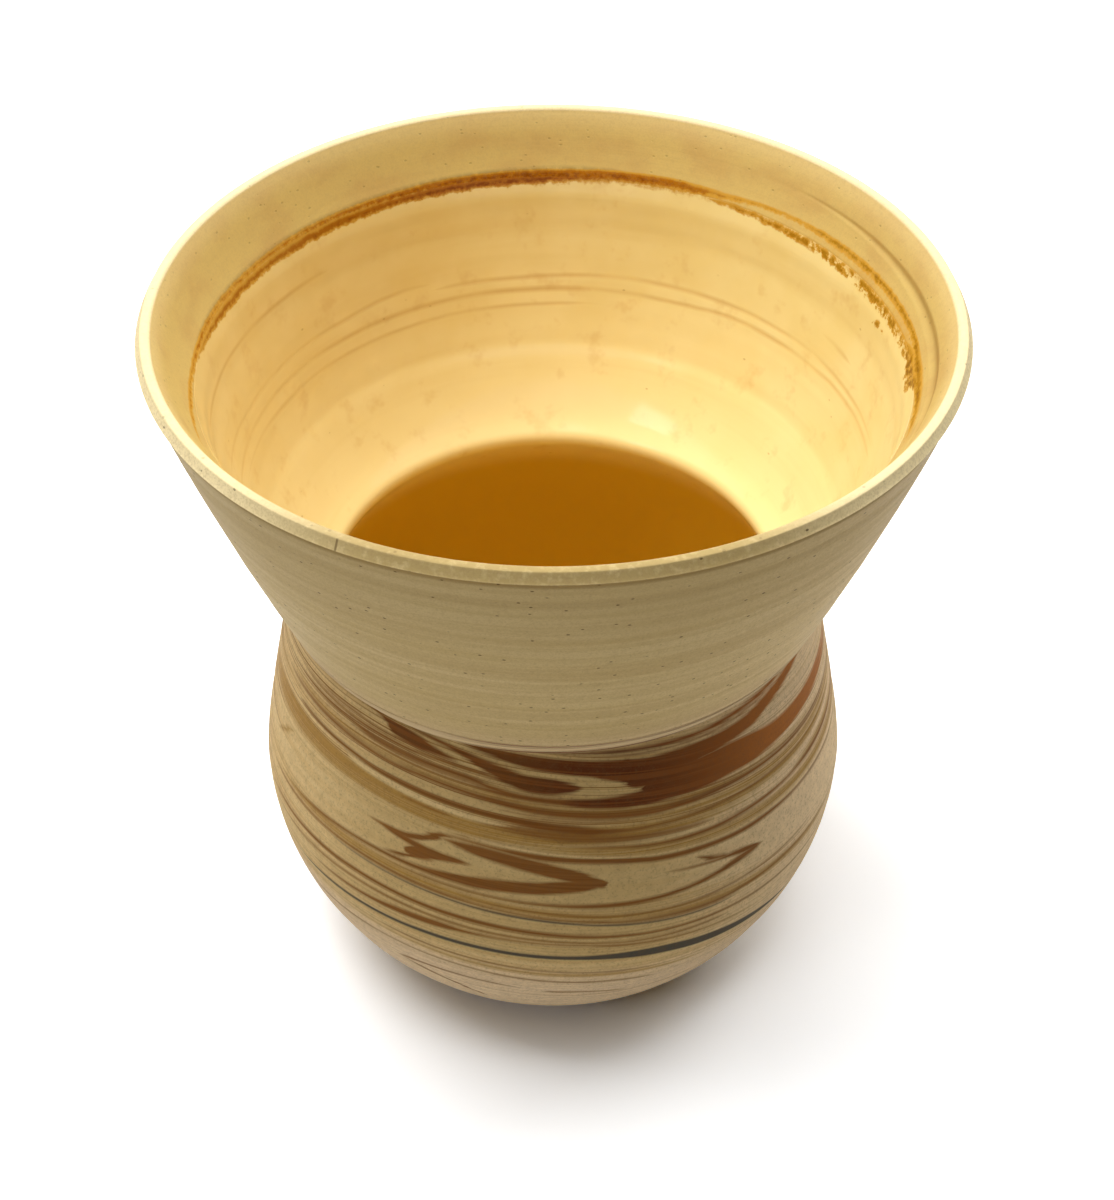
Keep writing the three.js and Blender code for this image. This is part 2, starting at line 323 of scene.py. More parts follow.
def hand_wobble(piece):
    """Takes the turned piece a hair out of round, alike on all pieces, so that they still fit."""
    for axis, size in WOBBLE_SIZES:
        cloud = bpy.data.textures.get("wobble_" + axis) or bpy.data.textures.new("wobble_" + axis, "CLOUDS")
        cloud.noise_scale = size
        cloud.noise_depth = 0
        wobble = piece.modifiers.new("wobble", "DISPLACE")
        wobble.texture = cloud
        wobble.texture_coords = "LOCAL"
        wobble.direction = axis
        wobble.mid_level = 0.5
        wobble.strength = WOBBLE * MM
        bpy.context.view_layer.objects.active = piece
        bpy.ops.object.modifier_apply(modifier=wobble.name)


def groove_at(around):
    """Height over the glaze line and half width of the groove, by the angle round the cup."""
    for (start, low, narrow), (end, high, wide) in zip(GROOVE_LINE[0], GROOVE_LINE[0][1:]):
        if start <= around < end:
            share = (around - start) / (end - start)
            return low + (high - low) * share, narrow + (wide - narrow) * share
    return 0, 0


def press_groove(collar):
    """Presses the groove into the collar's band, deepest at the right and run out to both sides."""
    pressed = collar.vertex_groups.new(name="groove")
    for vertex in collar.data.vertices:
        x, y, z = vertex.co / MM
        centre, half = groove_at(math.degrees(math.atan2(x, -y)) % 360)
        if half == 0 or math.hypot(x, y) > collar_side(z) - 1:
            continue
        away = (z - LINE - centre) / (GROOVE_SPREAD * half)
        if abs(away) < 1:
            pressed.add([vertex.index], (1 - away ** 2) ** 2 * min(1, half / GROOVE_FULL), "REPLACE")
    press = collar.modifiers.new("groove", "DISPLACE")
    press.vertex_group = pressed.name
    press.mid_level = 0
    press.strength = -GROOVE_DEPTH * MM
    bpy.context.view_layer.objects.active = collar
    bpy.ops.object.modifier_apply(modifier=press.name)


# Shader values


class Tone:
    """A value in a material's node tree. Arithmetic on it adds Math nodes."""

    def __init__(self, tree, socket=None):
        self.tree = tree
        self.socket = socket

    def node(self, kind, settings, sockets, output=0):
        made = self.tree.nodes.new(kind)
        for name, value in settings.items():
            if name == "points":
                self.set_points(made.mapping, value)
            else:
                setattr(made, name, value)
        for name, value in sockets.items():
            if isinstance(value, Tone):
                self.tree.links.new(value.socket, made.inputs[name])
            else:
                made.inputs[name].default_value = value
        return Tone(self.tree, made.outputs[output])

    @staticmethod
    def set_points(mapping, points):
        curve = mapping.curves[0]
        while len(curve.points) < len(points):
            curve.points.new(1, 1)
        for spot, place in zip(curve.points, points):
            spot.location = place
            spot.handle_type = "AUTO_CLAMPED"
        mapping.update()

    def math(self, operation, *values, clamp=False):
        settings = {"operation": operation, "use_clamp": clamp}
        return self.node("ShaderNodeMath", settings, dict(enumerate(values)))

    def __add__(self, other):
        return self.math("ADD", self, other)

    def __sub__(self, other):
        return self.math("SUBTRACT", self, other)

    def __mul__(self, other):
        return self.math("MULTIPLY", self, other)

    def __rsub__(self, other):
        return self.math("SUBTRACT", other, self)

    def __abs__(self):
        return self.math("ABSOLUTE", self)

    __radd__ = __add__
    __rmul__ = __mul__

    def clamped(self):
        return self.math("ADD", self, 0, clamp=True)

    def ramp(self, low, high):
        """0 below low, 1 above high, with a soft start and end; low may be the larger."""
        return self.node("ShaderNodeMapRange", {"interpolation_type": "SMOOTHSTEP", "clamp": True},
                         {"Value": self, "From Min": low, "From Max": high, "To Min": 0, "To Max": 1})

    def most(self, other):
        return self.math("MAXIMUM", self, other)

    def curve(self, points):
        return self.node("ShaderNodeFloatCurve", {"points": points}, {"Value": self})

    def vector(self, x, y, z):
        return self.node("ShaderNodeCombineXYZ", {}, {"X": x, "Y": y, "Z": z})

    def noise(self, place, scale, detail=2, roughness=0.5):
        return self.node("ShaderNodeTexNoise", {"noise_dimensions": "3D"},
                         {"Vector": place, "Scale": scale, "Detail": detail, "Roughness": roughness})

    def mix(self, under, over):
        """Colour: under where this value is 0, over where it is 1."""
        return self.node("ShaderNodeMix", {"data_type": "RGBA"}, {0: self, 6: under, 7: over}, output=2)

    def bump(self, strength, distance):
        return self.node("ShaderNodeBump", {}, {"Strength": strength, "Distance": distance, "Height": self})


def rgb(red, green, blue):
    """A colour written as on a screen, 0 to 255, as the shader's linear values."""
    shares = (red / 255, green / 255, blue / 255)
    return tuple(v / 12.92 if v <= 0.04 else ((v + 0.055) / 1.055) ** 2.4 for v in shares) + (1,)


def clay_ground(name):
    """A new material with the places that the finishes use: metres, degrees round the axis, radius."""
    material = bpy.data.materials.new(name)
    material.use_nodes = True
    tree = material.node_tree
    paint = Tone(tree)
    shader = tree.nodes["Principled BSDF"]
    place = paint.node("ShaderNodeTexCoord", {}, {}, output="Object")
    split = tree.nodes.new("ShaderNodeSeparateXYZ")
    tree.links.new(place.socket, split.inputs[0])
    x, y, z = (Tone(tree, split.outputs[k]) for k in range(3))
    longitude = paint.math("ARCTAN2", x, y * -1) * (180 / math.pi)
    radius = paint.math("SQRT", x * x + y * y)
    return material, paint, shader, x, y, z, longitude, radius


def set_shader(shader, tree, values):
    for name, value in values.items():
        if isinstance(value, Tone):
            tree.links.new(value.socket, shader.inputs[name])
        else:
            shader.inputs[name].default_value = value


# Colours, as on a screen

# The marbled clays
CREAM = rgb(233, 203, 145)
CREAM_CLOUD = rgb(223, 188, 129)
CREAM_LOW = rgb(250, 224, 188)
CREAM_RIGHT_PAINTED_LIGHT = rgb(248, 219, 176)
CREAM_FRONT_PAINTED_SHADE = rgb(206, 175, 116)
TAN = rgb(180, 137, 68)
BROWN = rgb(122, 71, 19)
BROWN_FIBRE = rgb(144, 91, 37)
GREY = rgb(82, 77, 66)
DEEP_LEFT = rgb(112, 66, 24)
DEEP_MIDDLE = rgb(98, 48, 18)
DEEP_RIGHT = rgb(180, 109, 47)
DEEP_STREAK = rgb(164, 100, 44)
BULB_GRAIN = rgb(120, 92, 62)
BULB_GRIT = rgb(116, 86, 54)

# The brown ring
RING_GOLD = rgb(208, 156, 56)
RING_BROWN = rgb(172, 104, 8)
RING_OLIVE = rgb(172, 122, 20)
RING_DARK = rgb(134, 70, 0)
RING_DARK_OLIVE = rgb(140, 92, 8)
# Painted shade along the crease at the brown ring's top.
CREASE_PAINTED_SHADE = rgb(104, 74, 30)

# The plain clay
CLAY = rgb(212, 187, 132)
CLAY_BROAD = rgb(219, 195, 142)
CLAY_RIGHT_PAINTED_LIGHT = rgb(236, 209, 156)
CLAY_LINES = rgb(184, 153, 100)
CLAY_UNDER_LIP_PAINTED_SHADE = rgb(176, 151, 100)
CLAY_FOOT_PAINTED_LIGHT = rgb(218, 189, 150)
BAND = rgb(214, 184, 110)
BAND_PATCH = rgb(202, 164, 98)
BAND_RIM_PAINTED_LIGHT = rgb(236, 210, 146)
LIP = rgb(242, 222, 172)
LIP_FRONT_PAINTED_SHADE = rgb(182, 158, 104)
LIP_CHALK = rgb(232, 210, 158)
LIP_UNDERCUT_PAINTED_SHADE = rgb(150, 116, 58)
NICK = rgb(96, 74, 46)
GROOVE_PAINTED_SHADE = rgb(138, 100, 42)
CLAY_GRAIN = rgb(174, 144, 98)
CLAY_GRIT = rgb(164, 136, 98)
PITS = rgb(88, 68, 42)
SLIP = rgb(214, 186, 138)
SLIP_DRAGGED = rgb(128, 88, 48)

# The glaze
GLAZE = rgb(238, 206, 131)
GLAZE_CLOUD = rgb(243, 214, 144)
# Painted light: the glaze lighter and yellower on the bowl's right side.
GLAZE_PAINTED_LIGHT = rgb(244, 220, 146)
GLAZE_PAINTED_LIGHT_CLOUD = rgb(249, 228, 160)
GLAZE_LOW_PAINTED_LIGHT = rgb(252, 230, 164)
GLAZE_BLOTCH = rgb(222, 176, 106)
GLAZE_DOTS = rgb(170, 120, 56)
GLAZE_STREAK = rgb(222, 184, 104)
GLAZE_BULB_PAINTED_SHADE = rgb(212, 170, 46)
THROWN = rgb(200, 146, 58)


# Marbling: veins drawn on the bulb, as (longitude right of the front, layer, half width) in degrees.
# A layer is the latitude about the belly's centre, with the slant that all the veins share taken out.

DRIFT = 9.2
VEIN_RISE = 0.25

DEEP_VEINS = [
    [(-23, 41.9, 0), (-16, 41.8, .45), (-10, 41.6, .8), (-4, 41.3, 1.15), (2, 41.25, 1.25),
     (7, 41.15, 1.4), (10, 40.9, 1.7), (14, 40.6, 2.1), (17, 40.1, 2.6), (24, 41.2, 2), (32, 42.2, 1.6),
     (40, 43.2, 1.4), (45, 44, 1.4), (50, 45.3, 1.1), (55, 46.5, 1), (60, 47.7, .9), (66, 49, 0)],
    [(0, 34.9, 0), (5, 34.9, .7), (10, 35, 1), (14, 35.2, 1.25), (17, 35.5, 1.45), (19.5, 36.6, 2.5),
     (25, 37.4, 2.9), (32, 38, 3), (40, 38.5, 2.9), (48, 38.5, 2.3), (56, 38.8, 1.9), (66, 39.4, 1.65),
     (76, 40, 1.5), (90, 40.4, 1.2), (112, 40.5, 0)],
    [(-36, 41.2, 0), (-28, 41.05, .2), (-20, 40.4, .45), (-14, 39.3, .95), (-9, 38.2, 1.4),
     (-3, 37.5, 1.5), (2, 37.6, 1.1), (6.5, 37.7, 0)],
    [(-48, 41.7, 0), (-42, 41.2, .15), (-37, 40.5, .35), (-34, 39.6, 1.1), (-30, 39.3, 1.25),
     (-25, 38.9, .8), (-21, 38.6, .35), (-18, 38.5, 0)],
    [(-12, 43.1, 0), (-3, 43.5, .2), (10, 43.9, .28), (20, 44.4, .34), (30, 45.1, .4), (40, 46.2, .42),
     (50, 47.5, .4), (57, 49, .35), (62, 49.6, 0)],
    [(-2, 43.1, 0), (10, 43.2, .08), (22, 43.7, .1), (34, 44.7, .1), (46, 46.2, .1), (56, 47.6, 0)],
]

BROWN_VEINS = [
    [(-66, 11.3, 0), (-52, 12.4, .3), (-40, 13.3, .35), (-28, 13.8, .5), (-20, 14.4, .9),
     (-10, 15.4, 1.4), (-3, 16.1, 1.4), (3, 17, 1.5), (7, 17.4, 1), (10.2, 17.5, 0)],
    [(-23, 22.5, 0), (-18, 22.3, .7), (-12, 21.9, 1.3), (-7, 21.4, 1.45), (-2, 20.7, 1.5), (3, 19.6, 1.5),
     (6, 18.8, 1.35), (8.5, 17.9, 1.15), (10.2, 17.4, 0)],
    [(-30, 16.2, 0), (-28.5, 16.8, .9), (-27, 17.4, 1.6), (-24.5, 17.9, 1.5), (-21, 18.4, .9),
     (-17.5, 18.7, .45), (-14.5, 18.7, 0)],
    [(-39, 19.9, 0), (-34, 19.8, .4), (-30, 19.9, .6), (-27, 20.6, .8), (-24, 22, .8), (-21, 23.3, .3),
     (-18, 23.7, 0)],
    [(-36, 19.7, 0), (-33, 19.5, .5), (-29, 19.1, .8), (-26, 18.7, .9), (-22, 18.5, .5), (-17, 18.4, 0)],
    [(-36, 14.1, 0), (-32, 14.6, .25), (-29.5, 15.2, .5), (-28, 16, .7), (-26.5, 17, 0)],
    [(-40, 12.1, 0), (-25, 12.4, .12), (-10, 12.55, .15), (0, 12.55, .3), (8, 12.6, .45), (16, 12.9, .5),
     (25, 13.8, .5), (32, 15, .55), (38, 16.2, .75), (43.5, 16.9, 0)],
    [(20, 18.9, 0), (25, 18.5, .18), (30, 18.2, .25), (35, 17.9, .5), (39, 17.5, .8), (43.5, 16.9, 0)],
    [(27.8, 20.4, 0), (29, 19.8, .35), (31, 19, .45), (34, 18.4, .4), (37, 18, 0)],
    [(-66, 38, 0), (-55, 37.7, .2), (-45, 37.3, .28), (-38, 37.1, .32), (-32, 37.1, .3), (-26, 37.5, .28),
     (-18, 37.7, .3), (-12, 37.4, .28), (-8, 37.1, 0)],
    [(-60, 38.5, 0), (-45, 38.3, .2), (-36, 37.9, .2), (-28, 38.1, .12), (-22, 38.2, 0)],
    [(-70, 37.1, 0), (-55, 36.7, .28), (-45, 36.4, .33), (-35, 35.9, .38), (-28, 36, .38),
     (-20, 36.2, .42), (-12, 35.5, .48), (-4, 35, .55), (4, 34.9, .75), (12, 34.7, .8), (18, 34.7, 0)],
    [(-75, 34.2, 0), (-55, 33.9, .32), (-40, 33.4, .38), (-33, 33.2, .38), (-25, 33.5, .4),
     (-15, 33.3, .5), (-5, 32.7, .55), (5, 32.4, .5), (15, 32.3, .5), (25, 32.8, .45), (40, 33.7, .45),
     (60, 34.4, .35), (90, 35, 0)],
    [(-64, 31.3, 0), (-60, 31.2, .35), (-45, 30.8, .4), (-33, 30.3, .4), (-22, 30.3, .42),
     (-10, 30.2, .5), (-3, 29.8, .8), (4, 29.5, .8), (10, 29.2, .4), (20, 29.6, .25), (35, 30.4, .2),
     (60, 31.5, .15), (85, 32, 0)],
    [(-8, 31.2, 0), (0, 31.2, .12), (10, 31.1, .1), (20, 31.3, 0)],
    [(-14, 31.8, 0), (-4, 31.7, .1), (8, 31.6, .12), (18, 31.5, 0)],
    [(-32, 27.9, 0), (-28, 27.9, .12), (-23, 27.8, .12), (-19, 27.8, 0)],
    [(0, 26, 0), (10, 25.9, .15), (20, 25.5, .3), (30, 25.7, .45), (40, 26.3, .45), (52, 26.9, .4),
     (65, 27.4, .5), (90, 27.8, 0)],
    [(-24, 23.4, 0), (-18, 23.7, .2), (-10, 23.5, .4), (-3, 23.2, .7), (4, 23, .6), (10, 22.9, .6),
     (16, 22.6, .65), (24, 22.2, .7), (35, 22.2, .65), (48, 22.5, .45), (60, 22.6, .25), (75, 22.3, .2),
     (105, 22, 0)],
    [(-22, 24.2, 0), (-12, 24.6, .1), (0, 24.2, .1), (10, 23.8, .1), (18, 23.5, 0)],
    [(-75, 9.8, 0), (-55, 10.2, .28), (-40, 10.3, .3), (-30, 10.2, .32), (-20, 10, .28), (-10, 9.7, .2),
     (0, 9.2, .2), (8, 8.8, .25), (18, 8.3, .3), (28, 8.3, .35), (38, 8.8, .3), (55, 9.8, .2),
     (75, 10.2, 0)],
    [(-20, 10.9, 0), (-8, 10.7, .1), (5, 10.2, .12), (15, 9.9, .14), (25, 10.1, .16), (35, 10.8, .16),
     (48, 11.7, .14), (62, 12.5, 0)],
    [(-75, 3.9, 0), (-60, 4.8, .35), (-45, 5.4, .45), (-32, 5.7, .5), (-18, 5.7, .55), (-8, 5.6, .5),
     (2, 5.3, .42), (12, 5, .36), (24, 4.7, .36), (36, 4.8, .3), (52, 5, .2), (75, 5, 0)],
    [(-68, 2.4, 0), (-50, 3.1, .2), (-35, 3.6, .2), (-20, 3.8, .18), (-5, 3.8, .15), (8, 3.4, .12),
     (18, 3, .2), (28, 3.1, .25), (36, 3.2, 0)],
    [(-56, -.2, 0), (-45, .2, .3), (-36, .8, .5), (-30, 1.5, .75), (-24, 2, .8), (-18, 2.4, .45),
     (-8, 2.8, .2), (2, 2.9, .16), (12, 2.3, .18), (22, 1.9, .18), (32, 1.4, .15), (45, .8, 0)],
    [(-36, -5.2, 0), (-25, -5.3, .16), (-12, -5.6, .16), (0, -6, .18), (12, -6.5, .16), (24, -6.9, 0)],
    [(-58, -11.2, 0), (-45, -10, .2), (-32, -9.3, .18), (-20, -9.2, .18), (-8, -9.7, .2), (2, -10.2, .22),
     (12, -10.7, .2), (24, -12, 0)],
    [(-33, -16.2, 0), (-29, -15.2, .4), (-24, -14.4, .35), (-17, -14, .25), (-11, -14.1, .2),
     (-5, -14.6, 0)],
    [(-3, -15.3, 0), (1, -15.4, .3), (6, -15.5, .25), (12, -16.4, .25), (16, -17, 0)],
    [(-33, -16.1, 0), (-28, -17.4, .4), (-22, -19.8, .5), (-18, -22.2, .5), (-14, -25, 0)],
]

BROWN_BANDS = [
    [(-18, 28.4, 0), (-8, 28.3, .7), (2, 27.9, 1), (12, 27.6, .9), (21, 27.5, .7), (28, 27.6, .45),
     (33, 27.8, 0)],
    [(-16, 33.7, 0), (-8, 33.2, .5), (0, 32.8, .6), (10, 32.7, .7), (20, 33, .6), (34, 33.8, .4),
     (50, 34.4, 0)],
    [(-45, 36, 0), (-32, 35.5, .3), (-20, 35.5, .3), (-8, 34.7, .3), (6, 34.7, 0)],
    [(-40, 30.6, 0), (-28, 30.4, .35), (-12, 30.1, .5), (0, 29.6, .9), (8, 29.4, .6), (16, 29.3, 0)],
]

TAN_VEINS = [
    [(-76, 16.5, 0), (-71, 18.8, .3), (-67.5, 21, .7), (-64, 23, 0)],
    [(-110, 27.5, 0), (-80, 27.6, 1.8), (-60, 27.5, 2.2), (-40, 27, 1.9), (-20, 26.6, 1.7),
     (-5, 27.2, 1.6), (8, 28.3, 1.6), (25, 29.3, 1.2), (45, 30.4, .9), (65, 31.3, .8), (90, 32, 0)],
    [(-70, 35, 0), (-50, 34.6, .35), (-30, 34.2, .35), (-15, 34.2, .4), (-5, 33.6, .5), (5, 33.2, .6),
     (15, 33.2, .6), (30, 34.2, .5), (50, 35, .4), (75, 35.6, 0)],
    [(5, 31, 0), (20, 31.2, .5), (35, 31.8, .8), (55, 32.6, .9), (75, 33.2, .8), (100, 33.5, 0)],
    [(-8, 24.6, 0), (5, 24.9, .7), (20, 24.6, 1), (35, 24.4, 1), (50, 24.7, 1), (65, 25, 1.1),
     (80, 25.2, 1.2), (110, 25, 0)],
    [(52, 27.3, 0), (62, 27.9, .7), (75, 28.2, .9), (95, 28.2, 0)],
    [(-70, 11, 0), (-55, 11.6, .7), (-40, 11.4, .8), (-20, 11, .7), (0, 10.4, .6), (15, 9.6, .6),
     (30, 9.3, .7), (50, 9.4, .7), (75, 9.4, 0)],
    [(-50, -6.5, 0), (-35, -6.5, .2), (-15, -6.8, .4), (5, -7.3, .4), (20, -7.8, .3), (35, -8.5, 0)],
]

GREY_VEINS = [
    [(-50, 9.6, 0), (-38, 9.5, .12), (-25, 9.35, .15), (-15, 9.1, .2), (-5, 8.8, .22), (3, 8.4, .2),
     (10, 7.9, .2), (18, 7.5, .18), (28, 7.35, .18), (38, 7.7, 0)],
    [(-62, -4, 0), (-50, -3.1, .3), (-40, -2.6, .35), (-30, -1.9, .45), (-20, -1.3, .5), (-8, -1.15, .55),
     (2, -1.05, .6), (10, -1, .85), (18, -1.2, 1.15), (28, -2, 1.25), (36, -2.7, 1.1), (45, -3.5, .8),
     (52, -4.2, .35), (57, -4.6, 0)],
]

CREAM_VEINS = [
    [(-46, 29.8, 0), (-42, 29.5, .45), (-33, 29.2, .5), (-22, 28.9, .4), (-14, 28.7, .35), (-7, 28.7, 0)],
    [(-18, 24.7, 0), (-8, 24.4, .25), (2, 24.05, .25), (12, 23.6, .22), (22, 23.2, .2), (34, 23.1, .2),
     (50, 23.4, .2), (70, 23.5, 0)],
]


# The brown ring where the glaze ends, the painted shade line along its top, the groove over it and the lines
# thrown into the bowl, as (longitude right of the front, height over the glaze line in millimetres, half
# width in millimetres). The ring's top and foot are (longitude, height), and its strength is (longitude, 0
# to 1).

STAIN_TOP = [
    (60, 2.2), (70, 1.9), (80, 1.7), (90, 1.6), (100, 1.55), (110, 1.5), (120, 1.45), (130, 1.4),
    (140, 1.25), (150, 1.15), (160, 1.1), (170, 1), (180, .85), (190, .75), (200, .7), (210, .6),
    (230, .6), (250, .6), (260, .7), (270, .7), (278, .9), (285, 1.35), (292, 1.9), (300, 2.5),
]
STAIN_FOOT = [
    (60, .6), (70, .3), (80, .1), (84, -.5), (88, -1.2), (91, -.7), (95, -.5), (105, -.4), (115, -.6),
    (125, -.5), (135, -.6), (145, -.6), (155, -.5), (165, -.5), (175, -.6), (185, -.9), (195, -.9),
    (205, -.9), (215, -1), (225, -1.1), (245, -1.1), (255, -1), (262, -.7), (268, -.2), (275, .2),
    (283, .5), (290, 1.2), (300, 2.2),
]
STAIN_STRENGTH = [
    (60, 0), (70, .45), (80, .55), (87, .7), (95, .5), (110, .45), (125, .4), (135, .3), (148, .4),
    (158, .65), (170, .75), (185, .85), (200, .85), (215, .7), (230, .58), (245, .48), (255, .5),
    (265, .5), (275, .4), (285, .35), (292, .25), (300, 0),
]

STAIN_LINES = [
    [(66, 1.1, 0), (76, .8, .3), (84, .7, .35), (90, 1, .25), (96, 1.25, .22), (104, 1.25, .25),
     (112, 1.2, .28), (120, 1.15, .28), (127, 1.15, .2), (134, 1.1, .1), (144, .8, .12), (151, .5, .3),
     (160, .5, .4), (170, .4, .42), (180, .25, .42), (190, .3, .35), (200, .3, .3), (210, .25, .24),
     (220, .3, .2), (230, .35, .22), (240, .3, .18), (250, .35, .2), (260, .4, .22), (268, .4, .22),
     (276, .55, .25), (284, .95, .25), (290, 1.45, .22), (300, 2.3, 0)],
    [(172, -.1, 0), (180, -.2, .3), (190, -.35, .42), (200, -.4, .38), (210, -.5, .3), (220, -.55, .38),
     (230, -.6, .4), (240, -.6, .34), (250, -.6, .38), (258, -.5, .32), (264, -.35, .22), (272, -.05, 0)],
    [(80, .3, 0), (83, 0, .5), (86, -1.1, 1.1), (88.5, -1, 1.1), (91, -.1, .5), (95, .2, 0)],
    [(90, -.4, 0), (95, -.6, .55), (102, -.6, .5), (110, -.7, .55), (118, -.7, .5), (126, -.6, .45),
     (134, -.5, .35), (144, -.3, .25), (152, -.1, 0)],
    [(101.5, -2.3, 0), (102.6, -2.3, .2), (104, -2.4, 0)],
    [(104, -2.2, 0), (105.3, -2.4, .4), (107.5, -2.9, 0)],
]

# Painted shade: a dark line along the crease at the top of the brown ring.
CREASE_SHADE_LINE = [
    [(166, 1.1, 0), (178, .95, .12), (190, .8, .16), (202, .74, .16), (215, .66, .14), (235, .66, .12),
     (255, .7, .1), (270, .8, 0)],
]

GROOVE_LINE = [
    [(50, 3, 0), (60, 3, .45), (72, 3.1, .6), (82, 3.2, .65), (92, 3.3, .6), (102, 3.45, .5),
     (112, 3.6, .35), (124, 3.8, .2), (138, 4, 0)],
]

THROWING_LINES = [
    [(88, -12, 0), (105, -12, .12), (130, -12, .15), (155, -12.1, .2), (175, -12.3, .18),
     (195, -12.5, .18), (206, -12.5, 0)],
    [(88, -13, 0), (95, -13, .15), (112, -13.1, .15), (122, -13.4, .1), (130, -13.4, .22),
     (140, -13.4, .15), (150, -13.8, .15), (165, -14, .15), (185, -14, .25), (200, -14.1, .2),
     (225, -14.1, .2), (250, -14.1, .12), (265, -14.05, .15), (280, -13.9, 0)],
    [(168, -15.8, 0), (185, -15.9, .12), (215, -16, .1), (243, -16, .16), (255, -15.8, .12),
     (275, -15.6, 0)],
    [(226, -5.3, 0), (232, -5.3, .15), (248, -5.3, .18), (258, -5.1, .12), (270, -4.9, .18),
     (281, -4.5, 0)],
    [(205, -11.7, 0), (212, -11.6, .12), (225, -12, .14), (240, -12.1, .14), (255, -12.1, .14),
     (268, -11.5, .12), (282, -11, 0)],
    [(108, -9.2, 0), (114, -9.2, .2), (120, -9.1, 0)],
]


def vein_cover(longitude, layer, points, soft):
    """How much one drawn vein covers, 0 to 1, with pointed ends and edges as soft as is said."""
    start, end = points[0][0], points[-1][0]
    low = min(p[1] for p in points)
    span = max(p[1] for p in points) - low or 1
    widest = max(p[2] for p in points) + soft
    along = (longitude - start) * (1 / (end - start))
    shares = [(p[0] - start) / (end - start) for p in points]
    middle = along.curve([(s, (p[1] - low) / span) for s, p in zip(shares, points)]) * span + low
    inner = [(s, (p[2] + soft) / widest) for s, p in zip(shares, points)][1:-1]
    width = along.curve([(0, 0)] + inner + [(1, 0)]) * widest
    return ((width - abs(layer - middle)) * (0.5 / soft)).clamped()


def clay_cover(longitude, layer, veins, soft):
    cover = vein_cover(longitude, layer, veins[0], soft)
    for points in veins[1:]:
        cover = cover.most(vein_cover(longitude, layer, points, soft))
    return cover


